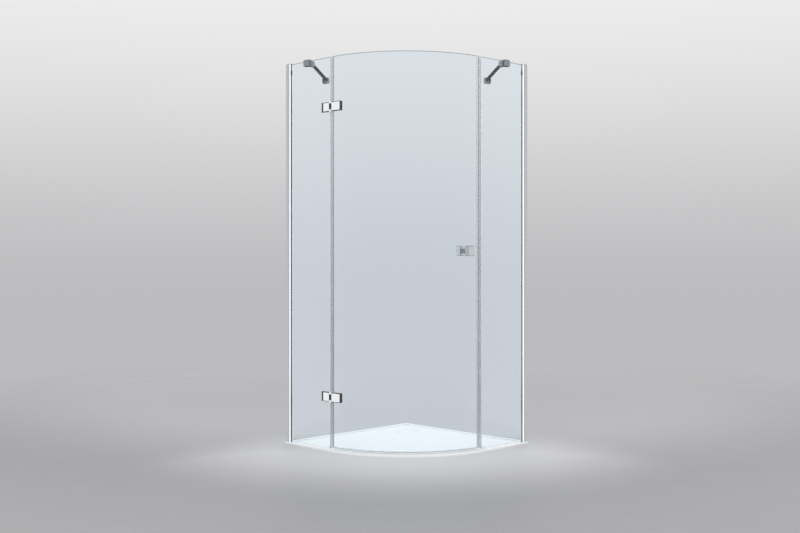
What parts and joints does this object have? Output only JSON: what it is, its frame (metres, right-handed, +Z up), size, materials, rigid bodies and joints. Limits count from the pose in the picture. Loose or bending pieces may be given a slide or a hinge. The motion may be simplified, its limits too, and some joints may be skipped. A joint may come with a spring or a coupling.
{
  "type": "corner shower enclosure",
  "caption": "Quadrant corner shower enclosure: fixed clear glass panels, a curved hinged glass door with knobs, chrome fittings, roof support arms and a low white tray.",
  "frame": {"origin": "the room's corner at floor level, where the tray's two straight back edges and its underside meet", "axes": "+Z up; +X along the wall behind the enclosure's closing side; -Y along the wall on its hinge side, so the walls are the planes x = 0 and y = 0 and the enclosure fills x 0 to 0.9 m, y -0.9 m to 0"},
  "size_m": [0.9311, 0.9, 1.985],
  "materials": {
    "clear_glass": "clear toughened glass, polished edges",
    "chrome": "polished chrome plate",
    "bright_steel": "buffed, darker than the chrome",
    "satin_chrome": "satin chrome plate",
    "bright_aluminium": "bright anodised, polished",
    "satin_aluminium": "satin anodised",
    "stainless_steel": "plain turned",
    "black_rubber": "matte black",
    "black_plastic": "matte black",
    "grey_magnet": "flexible magnet strip, matt grey",
    "pale_magnet": "flexible magnet strip, matt and pale",
    "clear_pvc": "translucent, smooth",
    "tray_white": "white gel coat, satin gloss"
  },
  "bodies": {
    "enclosure": {"shower_tray": "tray_white", "left_wall_channel": "satin_aluminium", "right_wall_channel": "satin_aluminium", "left_glazing_profile": "bright_aluminium", "right_glazing_profile": "bright_aluminium", "left_profile_gaskets": "black_rubber", "right_profile_gaskets": "black_rubber", "left_profile_cap": "satin_aluminium", "right_profile_cap": "satin_aluminium", "profile_lock_screws": "stainless_steel", "left_glass_panel": "clear_glass", "right_glass_panel": "clear_glass", "left_bottom_seal": "clear_pvc", "right_bottom_seal": "clear_pvc", "strike_seal": "clear_pvc", "strike_magnet": "pale_magnet", "threshold_rail": "bright_aluminium", "left_threshold_end": "bright_steel", "right_threshold_end": "bright_steel", "left_arm_clamp": "bright_steel", "right_arm_clamp": "bright_steel", "left_arm_pads": "black_rubber", "right_arm_pads": "black_rubber", "left_arm_bar": "bright_steel", "right_arm_bar": "bright_steel", "left_arm_wall_socket": "bright_steel", "right_arm_wall_socket": "bright_steel", "left_arm_wall_base": "stainless_steel", "right_arm_wall_base": "stainless_steel", "arm_pinch_screws": "stainless_steel", "arm_set_screws": "stainless_steel", "upper_hinge_panel_leaf": "chrome", "lower_hinge_panel_leaf": "chrome", "upper_hinge_panel_clamp": "chrome", "lower_hinge_panel_clamp": "chrome", "hinge_panel_pads": "black_rubber", "hinge_panel_screws": "stainless_steel", "hinge_bushes": "black_plastic"},
    "door": {"door_glass": "clear_glass", "upper_hinge_door_leaf": "chrome", "lower_hinge_door_leaf": "chrome", "upper_hinge_door_clamp": "chrome", "lower_hinge_door_clamp": "chrome", "hinge_door_pads": "black_rubber", "hinge_door_screws": "stainless_steel", "hinge_door_bushes": "black_plastic", "hinge_pins": "stainless_steel", "hinge_side_seal": "clear_pvc", "door_magnet_seal": "clear_pvc", "door_magnet": "grey_magnet", "door_bottom_seal": "clear_pvc", "outer_knob": "satin_chrome", "inner_knob": "satin_chrome", "knob_stud": "stainless_steel", "knob_washers": "clear_pvc"},
    "cover": {"waste_cover": "tray_white"}
  },
  "joints": [
    {"name": "door_swing", "type": "hinge", "parent": "enclosure", "child": "door", "pos_m": [0.354, -0.891, 1], "axis": [0, 0, -1], "range_deg": [0, 110]},
    {"name": "cover_lift", "type": "slide", "parent": "enclosure", "child": "cover", "axis": [0, 0, 1], "range_m": [0, 0.05]}
  ]
}
